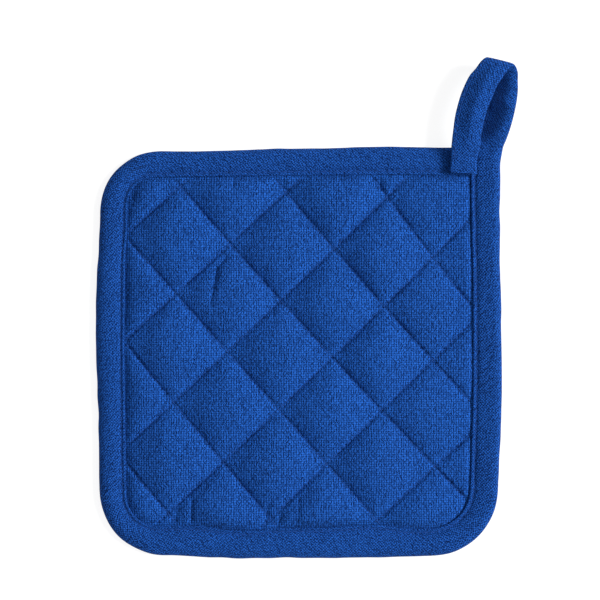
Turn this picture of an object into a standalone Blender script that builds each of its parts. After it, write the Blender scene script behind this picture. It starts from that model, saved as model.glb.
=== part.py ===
"""A quilted square pot holder: the quilted pad, its bias binding and the hanging loop.

It lies face up on a surface at z = 0. The origin is the middle of the square's underside, +Y points to the
side with the loop, and +X to the loop's corner. Sizes in the tables are millimetres.
"""

import math

import bmesh
import bpy
from mathutils import Vector
from mathutils.geometry import delaunay_2d_cdt

MM = 0.001

# The square, without its loop
HALF_WIDTH = 98.7
HALF_LENGTH = 100.2
GAP = 0.3  # between pieces that touch

# The binding's visible width on each side, from the square's edge to the tape's folded edge
TAPE_TOP = 13.2
TAPE_LEFT = 13.7
TAPE_BOTTOM = 14.9
TAPE_RIGHT = 14.4

# The three rounded corners, in the order in which the tape passes them; the fourth is square
CORNERS = (
    # name, radius of the square's edge, radius of the tape's folded edge
    ("top left", 33.0, 15.6),
    ("bottom left", 35.0, 17.0),
    ("bottom right", 37.0, 21.0),
)

# How far the hand-sewn edge strays outward from the true rounded square
SIDE_WAVER = (
    # side, at its start, quarter, middle, three quarters, end
    ("top", 0.6, 0.9, 0.35, -0.45, -1.35),
    ("left", -1.2, 0.3, 0.75, -0.45, -1.1),
    ("bottom", -1.2, 0.35, 0.15, 0.15, -0.6),
    ("right", -1.1, 0.75, 0.3, -0.2, 0.0),
)
RIGHT_SIDE = 3  # its row, the last side that the tape passes
CORNER_WAVER = (-0.1, -0.1, 0.2)  # at the middle of each corner
FOLD_WAVER_SHARE = 0.5  # the tape's folded edge strays half as far
FLARE = 1.3  # the right side's edge runs outward into the loop
FLARE_LENGTH = 12.0

# Steps along the tape: each straight side, and each corner
SIDE_STEPS = (12, 11, 11, 13)
CORNER_STEPS = 8
PAD_FINENESS = 3  # the pad has this many steps where the tape has one on a straight side

# Heights of the pad
MARGIN_TOP = 3.3
MARGIN_BOTTOM = 1.3
MARGIN_INSET = 3.9  # from the square's edge to the pad's own edge, inside the tape
SEAM_TOP = 4.0
SEAM_BOTTOM = 1.6
CROWN_TOP = 8.7
CROWN_UNEVEN = 0.4
BORDER_RISE = 9.0  # how far in from the tape the outer puffs reach their height
SEAM_RISE = 3.0
PUFF_POWER = 2.4  # higher is a flatter crown with steeper sides
FLAT_SHARE = 0.5  # an underside puff is pressed flat from this share of its height

# Quilting seams, each a shallow curve through three places
SEAM_HEIGHTS = (86.8, 0.6, -85.2)
FALLING_SEAMS = (
    # x at the top, middle and bottom heights; the first and last lie outside the tape
    (-244.5, -176.5, -105.5),
    (-195.8, -127.8, -57.2),
    (-148.0, -80.3, -9.4),
    (-110.1, -33.9, 42.2),
    (-61.3, 14.9, 96.5),
    (-11.9, 62.8, 144.5),
    (36.8, 104.4, 184.0),
    (87.5, 152.5, 232.0),
)
RISING_SEAMS = (
    (-102.3, -198.0, -293.5),
    (-51.8, -149.3, -246.5),
    (2.5, -90.8, -185.6),
    (54.1, -34.9, -126.9),
    (104.5, 19.5, -71.0),
    (157.8, 70.2, -17.6),
    (219.0, 127.5, 35.1),
    (272.0, 181.5, 87.9),
)
TOP_FRACTIONS = (0.0, 0.07, 0.19, 0.35, 0.5, 0.65, 0.81, 0.93)  # rows of points across a puff
BOTTOM_FRACTIONS = (0.0, 0.1, 0.25, 0.5, 0.75, 0.9)
SEAM_OVERRUN = 2.0  # seams are drawn this far past the tape's folded edge
RING_INSET = 3.0  # a ring of points runs this far inside the tape's folded edge
POINT_CLEARANCE = 4.6  # loose points keep this far from the tape's folded edge

# The tape's section: how far in from the square's edge, as a share of the tape's width plus millimetres
TAPE_OUTSIDE = (
    # share, millimetres, height
    (1.00, 0.0, 4.6),
    (1.00, -0.6, 5.0),
    (1.00, -2.0, 4.6),
    (1.00, -3.4, 5.2),
    (0.50, 0.0, 5.8),
    (0.22, 0.0, 5.4),
    (0.06, 0.0, 4.4),
    (0.00, 0.0, 2.9),
    (0.05, 0.0, 1.1),
    (0.16, 0.0, 0.0),
    (1.00, 0.0, 0.0),
)
TAPE_INSIDE = (
    (1.00, 0.0, 1.0),
    (0.22, 0.0, 1.0),
    (0.22, 0.0, 3.6),
    (1.00, 0.0, 3.6),
)
TAPE_END = 100.8  # where the right side's tape turns into the loop

# The loop's strap, from its root at the square corner, over its fold and down to its sewn end
STRAP = (
    # left edge x, y, z, right edge x, y, z, thickness
    (85.9, 101.1, 3.0, 100.1, 101.1, 3.0, 4.4),
    (87.2, 105.6, 2.8, 101.5, 104.6, 4.0, 2.8),
    (89.0, 111.0, 2.4, 103.0, 109.6, 5.2, 2.2),
    (91.3, 118.0, 2.2, 104.6, 115.8, 6.8, 2.0),
    (92.9, 125.1, 2.2, 105.9, 122.3, 7.6, 2.0),
    (93.5, 131.4, 2.6, 106.5, 127.9, 8.0, 2.0),
    (93.3, 136.9, 3.8, 106.4, 132.2, 8.4, 2.0),
    (92.4, 141.4, 6.2, 106.3, 136.0, 9.0, 2.0),
    (90.7, 143.2, 10.6, 105.1, 138.6, 11.0, 2.0),
    (88.2, 141.4, 14.4, 102.0, 136.6, 13.4, 2.0),
    (85.7, 138.2, 16.0, 98.9, 133.6, 15.2, 2.0),
    (82.6, 134.5, 16.6, 95.7, 129.0, 16.4, 2.0),
    (79.6, 128.3, 16.8, 93.4, 123.5, 16.8, 2.0),
    (77.8, 123.2, 16.6, 91.4, 118.8, 16.6, 2.0),
    (75.9, 115.8, 15.6, 89.6, 112.2, 15.6, 2.0),
    (74.9, 108.6, 13.2, 88.5, 106.2, 13.2, 2.0),
    (74.2, 101.9, 9.8, 88.1, 99.9, 9.8, 2.0),
    (73.9, 95.8, 7.3, 86.9, 94.6, 7.3, 2.0),
    (73.5, 88.2, 6.6, 86.9, 87.5, 6.6, 2.0),
)
STRAP_STEPS = 2  # between two rows of the table
STRAP_SECTION = (
    # share of half the width, share of half the thickness
    (-1.00, 0.00),
    (-0.93, -0.75),
    (-0.50, -1.00),
    (0.50, -1.00),
    (0.93, -0.75),
    (1.00, 0.00),
    (0.93, 0.75),
    (0.50, 1.00),
    (-0.50, 1.00),
    (-0.93, 0.75),
)

FINISHES = (
    # material, colour, roughness
    ("quilted cotton", (0.0105, 0.065, 0.305), 0.9),
    ("bias tape", (0.0090, 0.054, 0.250), 0.9),
    ("loop tape", (0.0085, 0.050, 0.235), 0.9),
)
CREASE_ANGLE = math.radians(50)  # edges sharper than this stay sharp

# How finely the pad's points are worked out
HALVINGS = 40  # of the stretch in which two seams meet
INSIDE_RIM = 1  # the triangulation's output: only the triangles inside the rim
SAME_POINT = 1e-4
ON_FOLD = 0.01  # points this near the tape's folded edge lie on it


def blend(a, b, share):
    return a + (b - a) * share


def smooth_at(values, share):
    """Value at a share of the way along evenly spaced values, on a smooth curve through them."""
    place = min(max(share, 0.0), 1.0) * (len(values) - 1)
    i = min(int(place), len(values) - 2)
    t = place - i
    before, a, b, after = (values[min(max(i + k, 0), len(values) - 1)] for k in (-1, 0, 1, 2))
    return 0.5 * (2 * a + (b - before) * t + (2 * before - 5 * a + 4 * b - after) * t**2
                  + (3 * a - before - 3 * b + after) * t**3)


def rounded_path(inset, radii, waver_share, start_x, end_y, fineness=1):
    """Points along the top, left, bottom and right sides, which start at the top's right end.

    inset gives how far each side lies in from the square's edge.
    """
    top, left = HALF_LENGTH - inset[0], inset[1] - HALF_WIDTH
    bottom, right = inset[2] - HALF_LENGTH, HALF_WIDTH - inset[3]
    middles = (
        (left + radii[0], top - radii[0]),
        (left + radii[1], bottom + radii[1]),
        (right - radii[2], bottom + radii[2]),
    )
    sides = (
        (start_x, top, middles[0][0], top),
        (left, middles[0][1], left, middles[1][1]),
        (middles[1][0], bottom, middles[2][0], bottom),
        (right, middles[2][1], right, end_y),
    )
    outward = ((0, 1), (-1, 0), (0, -1), (1, 0))
    points = []
    for k, (x0, y0, x1, y1) in enumerate(sides):
        steps = SIDE_STEPS[k] * fineness
        for step in range(steps + 1):
            share = step / steps
            x, y = blend(x0, x1, share), blend(y0, y1, share)
            out = smooth_at(SIDE_WAVER[k][1:], share)
            if k == RIGHT_SIDE:
                out += FLARE * max(0.0, 1 - (TAPE_END - y) / FLARE_LENGTH) ** 2
            out *= waver_share
            points.append((x + outward[k][0] * out, y + outward[k][1] * out))
        if k == RIGHT_SIDE:
            break
        waver = (SIDE_WAVER[k][5], CORNER_WAVER[k], SIDE_WAVER[k + 1][1])
        for step in range(1, CORNER_STEPS):
            share = step / CORNER_STEPS
            angle = math.radians(90 * (k + 1 + share))
            reach = radii[k] + smooth_at(waver, share) * waver_share
            points.append((middles[k][0] + reach * math.cos(angle), middles[k][1] + reach * math.sin(angle)))
    return points


def corner_place(inset, waver_share):
    """Where the top side and the right side meet, at the square corner."""
    x = HALF_WIDTH - inset[3] + waver_share * SIDE_WAVER[RIGHT_SIDE][5]
    y = HALF_LENGTH - inset[0] + waver_share * SIDE_WAVER[0][1]
    return x, y


EDGE_RADII = [row[1] for row in CORNERS]
FOLD_RADII = [row[2] for row in CORNERS]
FOLD_INSET = (TAPE_TOP, TAPE_LEFT, TAPE_BOTTOM, TAPE_RIGHT)


def closed_path(inset, radii, waver_share, fineness):
    """A path that comes back to the square corner, as one closed loop of points."""
    x, y = corner_place(inset, waver_share)
    points = rounded_path(inset, radii, waver_share, x, y, fineness)
    points[-1] = points[0] = (x, y)
    return points[:-1]


def seam_x(seam, y):
    """x of a seam at the height y: a parabola through its three places."""
    top, middle, bottom = SEAM_HEIGHTS
    at_top = (y - middle) * (y - bottom) / ((top - middle) * (top - bottom))
    at_middle = (y - top) * (y - bottom) / ((middle - top) * (middle - bottom))
    at_bottom = (y - top) * (y - middle) / ((bottom - top) * (bottom - middle))
    return seam[0] * at_top + seam[1] * at_middle + seam[2] * at_bottom


def seam_number(seams, x, y):
    """Which two seams a point lies between: the first one's number, plus the share of the way to the next."""
    places = [seam_x(seam, y) for seam in seams]
    for i in range(len(places) - 1):
        if x <= places[i + 1] or i == len(places) - 2:
            return i + (x - places[i]) / (places[i + 1] - places[i])


def between(seams, number):
    """The seam, or the line between two seams, with that number."""
    i = min(int(number), len(seams) - 2)
    return [blend(a, b, number - i) for a, b in zip(seams[i], seams[i + 1])]


def crossing(falling, rising):
    """Where a line of the falling family meets one of the rising family."""
    low, high = -2 * HALF_LENGTH, 2 * HALF_LENGTH
    for _ in range(HALVINGS):
        y = (low + high) / 2
        if seam_x(falling, y) < seam_x(rising, y):
            high = y
        else:
            low = y
    return seam_x(falling, y), y


def edge_distance(loop, x, y):
    """How far a point lies inside a closed loop; less than 0 outside it."""
    nearest = math.inf
    inside = False
    for (x0, y0), (x1, y1) in zip(loop, loop[1:] + loop[:1]):
        dx, dy = x1 - x0, y1 - y0
        t = min(1.0, max(0.0, ((x - x0) * dx + (y - y0) * dy) / (dx * dx + dy * dy)))
        nearest = min(nearest, math.hypot(x - x0 - t * dx, y - y0 - t * dy))
        if (y0 > y) != (y1 > y) and x < x0 + (y - y0) * dx / dy:
            inside = not inside
    return nearest if inside else -nearest


def puff(x, y, edge):
    """Share of a puff's full height at a point, from 0 on a seam to 1 on a crown."""
    share = 1.0
    for seams in (FALLING_SEAMS, RISING_SEAMS):
        across = seam_number(seams, x, y) % 1.0
        share *= 1 - abs(2 * across - 1) ** PUFF_POWER
    return share * (1 - max(0.0, 1 - edge / BORDER_RISE) ** 2)


def top_height(x, y, edge):
    if edge <= 0:
        return MARGIN_TOP
    falling, rising = seam_number(FALLING_SEAMS, x, y), seam_number(RISING_SEAMS, x, y)
    crown = CROWN_TOP + CROWN_UNEVEN * math.sin(2.1 * int(falling) + 1.3 * int(rising))
    seam = blend(MARGIN_TOP, SEAM_TOP, min(1.0, edge / SEAM_RISE))
    return seam + (crown - seam) * puff(x, y, edge)


def bottom_height(x, y, edge):
    if edge <= 0:
        return MARGIN_BOTTOM
    seam = blend(MARGIN_BOTTOM, SEAM_BOTTOM, min(1.0, edge / SEAM_RISE))
    return seam * max(0.0, 1 - puff(x, y, edge) / FLAT_SHARE)


def pad_face(rim, window, ring, fractions):
    """One face of the pad seen from above: its points, its triangles and the rim's points in order.

    The seams, the tape's folded edge and a ring inside it are edges of the triangles.
    """
    points, edges = [], []

    def line(places, closed):
        first = len(points)
        points.extend(Vector(place) for place in places)
        edges.extend((first + i, first + i + 1) for i in range(len(places) - 1))
        if closed:
            edges.append((len(points) - 1, first))

    line(rim, True)
    line(window, True)
    line(ring, True)
    last = len(FALLING_SEAMS) - 1
    numbers = [i + part for i in range(last) for part in fractions]
    for number in range(1, last):
        falling = [crossing(FALLING_SEAMS[number], between(RISING_SEAMS, cross)) for cross in numbers]
        rising = [crossing(between(FALLING_SEAMS, cross), RISING_SEAMS[number]) for cross in numbers]
        for places in (falling, rising):
            line([place for place in places if edge_distance(window, *place) > -SEAM_OVERRUN], False)
    for a in numbers:
        for b in numbers:
            if a % 1.0 and b % 1.0:
                x, y = crossing(between(FALLING_SEAMS, a), between(RISING_SEAMS, b))
                if edge_distance(window, x, y) > POINT_CLEARANCE:
                    points.append(Vector((x, y)))
    outside = [list(range(len(rim)))]
    flat, _, faces, origins, _, _ = delaunay_2d_cdt(points, edges, outside, INSIDE_RIM, SAME_POINT)
    place_of = {i: place for place, sources in enumerate(origins) for i in sources}
    return flat, faces, [place_of[i] for i in range(len(rim))]


def make_pad():
    """The quilted pad: a face with puffs, an underside pressed flat where it lies, and a thin margin."""
    rim = closed_path([MARGIN_INSET] * 4, [radius - MARGIN_INSET for radius in EDGE_RADII], 1.0, 1)
    window = closed_path(FOLD_INSET, FOLD_RADII, FOLD_WAVER_SHARE, PAD_FINENESS)
    ring = closed_path([width + RING_INSET for width in FOLD_INSET],
                       [radius - RING_INSET for radius in FOLD_RADII], FOLD_WAVER_SHARE, PAD_FINENESS)
    vertices, faces, rims = [], [], []
    for height, fractions, upward in ((top_height, TOP_FRACTIONS, True),
                                      (bottom_height, BOTTOM_FRACTIONS, False)):
        flat, triangles, outside = pad_face(rim, window, ring, fractions)
        first = len(vertices)
        vertices += [(x, y, height(x, y, edge_distance(window, x, y) - ON_FOLD)) for x, y in flat]
        faces += [[first + i for i in (face if upward else reversed(face))] for face in triangles]
        rims.append([first + i for i in outside])
    top, bottom = rims
    for i in range(len(top)):
        k = (i + 1) % len(top)
        faces.append([top[i], bottom[i], bottom[k], top[k]])
    return vertices, faces


def make_binding():
    """The folded tape round the pad's edge, open where it leaves the square corner."""
    fold_x, _ = corner_place(FOLD_INSET, FOLD_WAVER_SHARE)
    edge = rounded_path([0.0] * 4, EDGE_RADII, 1.0, fold_x - GAP, TAPE_END)
    fold = rounded_path(FOLD_INSET, FOLD_RADII, FOLD_WAVER_SHARE, fold_x - GAP, TAPE_END)
    section = TAPE_OUTSIDE + TAPE_INSIDE
    rings = []
    for (x0, y0), (x1, y1) in zip(edge, fold):
        width = math.hypot(x1 - x0, y1 - y0)
        rings.append([(blend(x0, x1, share + more / width), blend(y0, y1, share + more / width), z)
                      for share, more, z in section])
    return swept(rings)


def make_loop():
    """The strap of the hanging loop, which lies on the binding at its sewn end."""
    columns = list(zip(*STRAP))
    count = (len(STRAP) - 1) * STRAP_STEPS

    def edges(share):
        values = [smooth_at(column, share) for column in columns]
        return Vector(values[0:3]), Vector(values[3:6]), values[6]

    def middle(share):
        left, right, _ = edges(share)
        return (left + right) / 2

    rings = []
    for step in range(count + 1):
        share = step / count
        left, right, thickness = edges(share)
        across = (right - left) / 2
        ahead = middle(share + 0.5 / count) - middle(share - 0.5 / count)
        if step in (0, count):
            ahead.z = 0.0
        up = across.cross(ahead).normalized() * (thickness / 2)
        rings.append([tuple(middle(share) + across * side + up * high) for side, high in STRAP_SECTION])
    return swept(rings)


def swept(rings):
    """Vertices and faces of a solid through rings of points, with a flat cap at each end."""
    count = len(rings[0])
    vertices = [point for ring in rings for point in ring]
    faces = []
    for r in range(len(rings) - 1):
        for i in range(count):
            k = (i + 1) % count
            faces.append([r * count + i, r * count + k, (r + 1) * count + k, (r + 1) * count + i])
    faces.append(list(range(count))[::-1])
    faces.append(list(range(len(vertices) - count, len(vertices))))
    return vertices, faces


def finish(name, colour, roughness):
    material = bpy.data.materials.new(name)
    material.use_nodes = True
    shader = material.node_tree.nodes["Principled BSDF"]
    shader.inputs["Base Color"].default_value = (*colour, 1)
    shader.inputs["Roughness"].default_value = roughness
    shader.inputs["Metallic"].default_value = 0.0
    return material


def add_object(name, shape, material):
    """An object from vertices in millimetres, with its faces turned outward."""
    vertices, faces = shape
    mesh = bpy.data.meshes.new(name)
    mesh.from_pydata([[c * MM for c in point] for point in vertices], [], faces)
    body = bmesh.new()
    body.from_mesh(mesh)
    bmesh.ops.triangulate(body, faces=[face for face in body.faces if len(face.verts) > 4])
    bmesh.ops.recalc_face_normals(body, faces=body.faces)
    body.to_mesh(mesh)
    body.free()
    mesh.shade_smooth()
    mesh.set_sharp_from_angle(angle=CREASE_ANGLE)
    mesh.materials.append(material)
    piece = bpy.data.objects.new(name, mesh)
    bpy.context.collection.objects.link(piece)
    return piece


def main():
    for old in list(bpy.data.objects):
        bpy.data.objects.remove(old)
    cotton, tape, loop_tape = (finish(*row) for row in FINISHES)
    add_object("pad", make_pad(), cotton)
    add_object("binding", make_binding(), tape)
    add_object("loop", make_loop(), loop_tape)


main()
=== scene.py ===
"""The looks of a quilted square pot holder that lies face up on a pale floor, seen straight from above.

The pad, the tape round it and its hanging loop repeat the outline of their solids with finer sections.
Sizes in the tables are millimetres, and the built meshes are in metres, in the frame of the solids.
"""

import math

import bpy
import numpy as np
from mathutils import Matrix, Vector
from mathutils.geometry import delaunay_2d_cdt


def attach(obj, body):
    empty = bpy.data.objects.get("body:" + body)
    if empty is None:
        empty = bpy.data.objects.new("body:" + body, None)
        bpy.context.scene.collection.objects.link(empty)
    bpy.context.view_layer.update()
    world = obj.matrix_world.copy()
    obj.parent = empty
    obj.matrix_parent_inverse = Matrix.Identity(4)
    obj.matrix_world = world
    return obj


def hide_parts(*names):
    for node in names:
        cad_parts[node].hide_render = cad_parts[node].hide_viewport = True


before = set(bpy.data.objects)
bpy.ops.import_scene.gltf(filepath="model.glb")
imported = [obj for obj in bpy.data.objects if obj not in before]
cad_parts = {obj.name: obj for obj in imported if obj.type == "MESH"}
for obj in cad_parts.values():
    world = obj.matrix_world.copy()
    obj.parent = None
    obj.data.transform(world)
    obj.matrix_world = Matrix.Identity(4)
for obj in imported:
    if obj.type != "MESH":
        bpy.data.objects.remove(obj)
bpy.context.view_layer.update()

MM = 0.001
BODY = "root"

# The square's outline, as in the solids
HALF_WIDTH = 98.7
HALF_LENGTH = 100.2
FOLD_INSET = (13.2, 13.7, 14.9, 14.4)  # the tape's width on the top, left, bottom and right side
EDGE_RADII = (33.0, 35.0, 37.0)  # of the square's edge, at the top left, bottom left and bottom right corner
FOLD_RADII = (15.6, 17.0, 21.0)  # of the tape's folded edge
SIDE_WAVER = (
    # how far each side strays outward at its start, quarter, middle, three quarters and end
    (0.6, 0.9, 0.35, -0.45, -1.35),
    (-1.2, 0.3, 0.75, -0.45, -1.1),
    (-1.2, 0.35, 0.15, 0.15, -0.6),
    (-1.1, 0.75, 0.3, -0.2, 0.0),
)
RIGHT_SIDE = 3  # its row, the last side that the tape passes
CORNER_WAVER = (-0.1, -0.1, 0.2)
FOLD_WAVER = (
    # the same for the tape's folded edge, at evenly spaced places
    (0.3, 0.45, 0.2, -0.2, -0.7),
    (-1.2, -0.9, -0.1, 0.1, 0.2, 0.3, 0.35, 0.3, 0.1, 0.0, -0.1, -0.3, -0.55),
    (-0.6, -0.8, -0.4, 1.1, 1.6, 0.3, 0.1, 0.1, -0.4, -1.1, -1.2, 0.7, 0.5),
    (-0.3, 0.3, 0.9, 1.05, 1.05, 0.9, 0.4, 0.0, 0.0),
)
FOLD_CORNER_WAVER = (-0.6, -0.3, 0.4)
EDGE_WAVERS = (SIDE_WAVER, CORNER_WAVER)
FOLD_WAVERS = (FOLD_WAVER, FOLD_CORNER_WAVER)
FLARE = 1.3  # the right side's edge runs outward into the loop
FOLD_FLARE = FLARE / 2
FLARE_LENGTH = 12.0
TAPE_END = 100.8  # where the right side's tape turns into the loop
GAP = 0.3
SIDE_STEPS = (132, 124, 124, 150)
CORNER_STEPS = 56

# The pad
MARGIN_TOP = 3.3
MARGIN_BOTTOM = 1.3
MARGIN_INSET = 3.9
SEAM_TOP = 4.0
SEAM_BOTTOM = 1.6
CROWN_TOP = 8.7
CROWN_UNEVEN = 0.4
CROWN_CHANGE = (2.1, 1.3)  # from puff to puff along each family, as an angle
BORDER_RISE = 8.0
LEFT_BORDER_RISE = 26.0  # the filling is thinner towards the left side
LEFT_BORDER_REACH = 50.0
LEFT_LIP = (1.4, 4.2)  # the face climbs quickly beside the tape on the left: by this much, within this reach
RIGHT_BORDER_RISE = 3.0
RIGHT_BORDER_REACH = 58.0
RIGHT_FILLING = 0.4  # share of a puff's full height beside the tape on the right
SEAM_RISE = 3.0
PUFF_POWER = 2.4
FLAT_SHARE = 0.5
SEAM_HEIGHTS = (86.8, 0.6, -85.2)
FALLING_SHIFT = -1.08  # the thread lies to the left of the darkest line
RISING_SHIFT = -0.6
FALLING_SEAMS = np.array((
    # x at the top, middle and bottom heights; the first and last lie outside the tape
    (-244.5, -176.5, -105.5),
    (-195.8, -127.8, -57.2),
    (-148.0, -80.3, -9.4),
    (-110.1, -33.9, 42.2),
    (-61.3, 14.9, 96.5),
    (-11.9, 62.8, 144.5),
    (36.8, 104.4, 184.0),
    (87.5, 152.5, 232.0),
)) + FALLING_SHIFT
RISING_SEAMS = np.array((
    (-102.3, -198.0, -293.5),
    (-51.8, -149.3, -246.5),
    (2.5, -90.8, -185.6),
    (54.1, -34.9, -126.9),
    (104.5, 19.5, -71.0),
    (157.8, 70.2, -17.6),
    (219.0, 127.5, 35.1),
    (272.0, 181.5, 87.9),
)) + RISING_SHIFT
TOP_ROWS = 40  # rows of points across a puff, on the face and on the underside
BOTTOM_ROWS = 14
ROW_CROWDING = 0.5  # how much closer the rows are beside a seam
SEAM_OVERRUN = 2.0  # seams are drawn this far past the tape's folded edge
POINT_CLEARANCE = 0.4  # loose points keep this far inside the tape's folded edge
WINDOW_FINENESS = 0.25  # of the folded edge that distances are taken from
RIM_FINENESS = 0.2
HALVINGS = 36  # of the stretch in which two seams meet
INSIDE_RIM = 1  # the triangulation's output: only the triangles inside the rim
SAME_POINT = 1e-4
ON_FOLD = 0.02  # points this near the tape's folded edge lie on it

# What the needle and the filling do to the face
GROOVE_DEPTH = 0.46
GROOVE_WIDTH = 0.9
SIDE_GROOVE = 0.8  # how much deeper the groove is beside the tape on the left and the right
GROOVE_UNEVEN = (0.6, 7.0)  # how much the thread's pull varies, and over what length
STITCH_DIMPLE = 0.45  # share of the groove's depth
PUCKER_HEIGHT = 0.2
PUCKER_SIZE = 3.6
PUCKER_REACH = 5.0
PUCKER_STRETCH = 0.3  # how much slower the puckers change away from the seam than along it
SOFTNESS = (
    # height, size of the uneven patches in the filling
    (0.28, 22.0),
    (0.12, 9.0),
)
CREASES = (
    # from x, y, to x, y, width, depth as a share: where the cloth was caught by the needle
    (-36.1, 46.6, -40.0, 41.7, 1.4, 0.7),
    (-40.0, 41.7, -41.5, 31.0, 1.5, 0.9),
    (-41.5, 31.0, -43.0, 24.6, 1.5, 0.6),
    (-17.5, 38.0, -16.5, 24.0, 1.8, 0.3),
    (-12.0, 30.0, -12.6, 17.0, 1.8, 0.3),
    (-59.2, -75.9, -61.0, -85.4, 1.6, 0.5),
    (-52.2, -71.9, -52.8, -85.4, 1.5, 0.6),
    (-14.5, -74.4, -16.5, -82.0, 1.5, 0.5),
    (-8.6, -79.3, -10.6, -85.4, 1.4, 0.6),
    (0.4, -71.9, -0.6, -82.0, 1.6, 0.45),
    (-80.6, 84.5, -81.4, 75.0, 1.6, 0.8),
    (-32.2, 86.5, -31.8, 80.5, 1.5, 0.5),
    (-7.7, 86.5, -7.2, 80.5, 1.5, 0.5),
    (20.2, 88.0, 20.6, 83.0, 1.5, 0.4),
    (39.8, 86.5, 40.2, 80.5, 1.5, 0.5),
)
CREASE_DEPTH = 2.1
CREASE_STEP = 0.9
CREASE_ASIDE = (-2.2, -1.3, -0.7, -0.3, 0.0, 0.3, 0.7, 1.3, 2.2)

# The tape's section, from its folded edge over the top and round to the underside, then its inside
TAPE_SECTION = (
    # share of the tape's width in from the square's edge, plus millimetres, height
    (1.00, -0.10, 3.60),
    (1.00, 0.10, 3.95),
    (1.00, 0.10, 4.35),
    (1.00, -0.15, 4.66),
    (1.00, -0.60, 4.82),
    (1.00, -1.05, 4.74),
    (1.00, -1.40, 4.40),
    (1.00, -1.80, 4.02),
    (1.00, -2.25, 4.36),
    (1.00, -2.80, 4.80),
    (1.00, -3.60, 5.12),
    (1.00, -4.80, 5.38),
    (1.00, -6.20, 5.58),
    (0.00, 6.20, 5.66),
    (0.00, 4.90, 5.60),
    (0.00, 3.90, 5.46),
    (0.00, 3.10, 5.22),
    (0.00, 2.40, 4.92),
    (0.00, 1.70, 4.52),
    (0.00, 1.05, 4.06),
    (0.00, 0.50, 3.54),
    (0.00, 0.14, 3.00),
    (0.00, 0.00, 2.45),
    (0.00, 0.12, 1.80),
    (0.00, 0.55, 1.10),
    (0.00, 1.20, 0.55),
    (0.00, 2.10, 0.15),
    (0.00, 3.10, 0.00),
    (0.45, 0.00, 0.00),
    (1.00, -4.00, 0.00),
    (1.00, -2.60, 0.05),
    (1.00, -1.80, 0.40),
    (1.00, -1.30, 0.05),
    (1.00, -0.60, 0.00),
    (1.00, -0.10, 0.20),
    (1.00, 0.00, 0.60),
    (1.00, -0.10, 1.00),
    (0.22, 0.00, 1.00),
    (0.22, 0.00, 3.60),
)
TOP_GROOVE = 7  # its row
BOTTOM_GROOVE = 31
TOP_ROWS_END = 23  # the section's rows from here to the inside are its underside
INSIDE_START = 36
STITCH_INSET = 1.8  # the top-stitching runs this far outside the folded edge
NEEDLE_DEPTH = (0.16, 0.10)  # of the needle holes, on the top and on the underside
RAISED = (3.6, 1.4)  # the tape ripples above this height, and in full this much higher
TAPE_RIPPLE = 0.13
TAPE_RIPPLE_SIZE = 5.0
TAPE_RIPPLE_SLANT = (0.8, 0.5)  # how the ripples lean over and widen across the tape
EDGE_RIPPLE = 0.26
EDGE_RIPPLE_SIZE = 8.0
RIGHT_EDGE_LIFT = 1.9  # the tape's outer part stands higher on the right side
RIGHT_EDGE_REACH = 4.8
RIGHT_EDGE_START = (60.0, 30.0)  # x where the lift begins, and how far on it is full

# The loop's strap, from its root at the square corner, over its fold and down to its sewn end
STRAP = np.array((
    # left edge x, y, z, right edge x, y, z, thickness, rise from left to right, where the rise ends
    (85.0, 100.8, 2.9, 100.0, 100.8, 2.9, 4.4, 0.0, 0.30),
    (87.2, 105.6, 1.6, 101.5, 104.6, 5.2, 2.6, 5.0, 0.36),
    (89.0, 111.0, 1.2, 103.0, 109.6, 8.0, 2.2, 8.0, 0.70),
    (91.3, 118.0, 1.2, 104.6, 115.8, 9.0, 2.0, 8.4, 0.96),
    (92.9, 125.1, 1.2, 105.9, 122.3, 9.4, 2.0, 9.4, 0.62),
    (93.5, 131.4, 1.5, 106.5, 127.9, 9.8, 2.0, 8.8, 0.82),
    (93.3, 136.9, 2.8, 106.4, 132.4, 10.2, 2.0, 7.4, 0.84),
    (92.4, 141.4, 5.8, 106.3, 136.6, 10.8, 2.0, 3.4, 0.70),
    (90.7, 143.4, 10.4, 104.6, 139.6, 12.0, 2.0, 0.0, 0.40),
    (88.2, 141.6, 12.2, 101.8, 138.0, 13.4, 2.0, -1.5, 0.30),
    (85.7, 138.2, 12.4, 98.9, 134.0, 14.0, 2.0, -3.5, 0.30),
    (82.6, 134.5, 12.2, 95.7, 129.2, 14.2, 2.0, -4.6, 0.32),
    (79.6, 128.3, 12.0, 93.4, 123.5, 14.2, 2.0, -5.0, 0.35),
    (77.8, 123.2, 11.8, 91.4, 118.8, 14.0, 2.0, -5.0, 0.35),
    (75.9, 115.8, 11.8, 89.6, 112.2, 13.4, 2.0, -5.0, 0.35),
    (74.9, 108.6, 11.6, 88.5, 106.2, 12.0, 2.0, -4.2, 0.35),
    (74.2, 101.9, 11.0, 88.1, 99.9, 10.2, 2.2, -2.6, 0.35),
    (73.9, 95.8, 9.4, 86.9, 94.6, 8.2, 2.4, -1.0, 0.35),
    (73.5, 88.2, 7.2, 86.9, 87.5, 6.9, 2.2, 0.0, 0.35),
))
STRAP_STEPS = 9
STRAP_COLUMNS = 40  # points across each face
STRAP_SQUARENESS = 9  # higher is a flatter face with rounder edges
ROOT_ROWS = 1.8  # rows of the table over which the tape's section turns into the strap's
STRAP_STITCH_SIDE = -0.75  # the top-stitching runs on along the strap at this share of half its width
STRAP_GROOVE = (0.22, 0.06)  # its depth in millimetres, its width as a share
STRAP_STITCHED = (0.05, 0.955)  # shares of the length
BAR_SHARES = (0.960, 0.979)  # the rows that hold the loop's end down, as shares of the strap's length
BAR_REACH = 0.86  # half of a row, as a share of half the width
STRAP_LINE_POINTS = 160  # along a line of stitches
BAR_POINTS = 20

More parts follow.
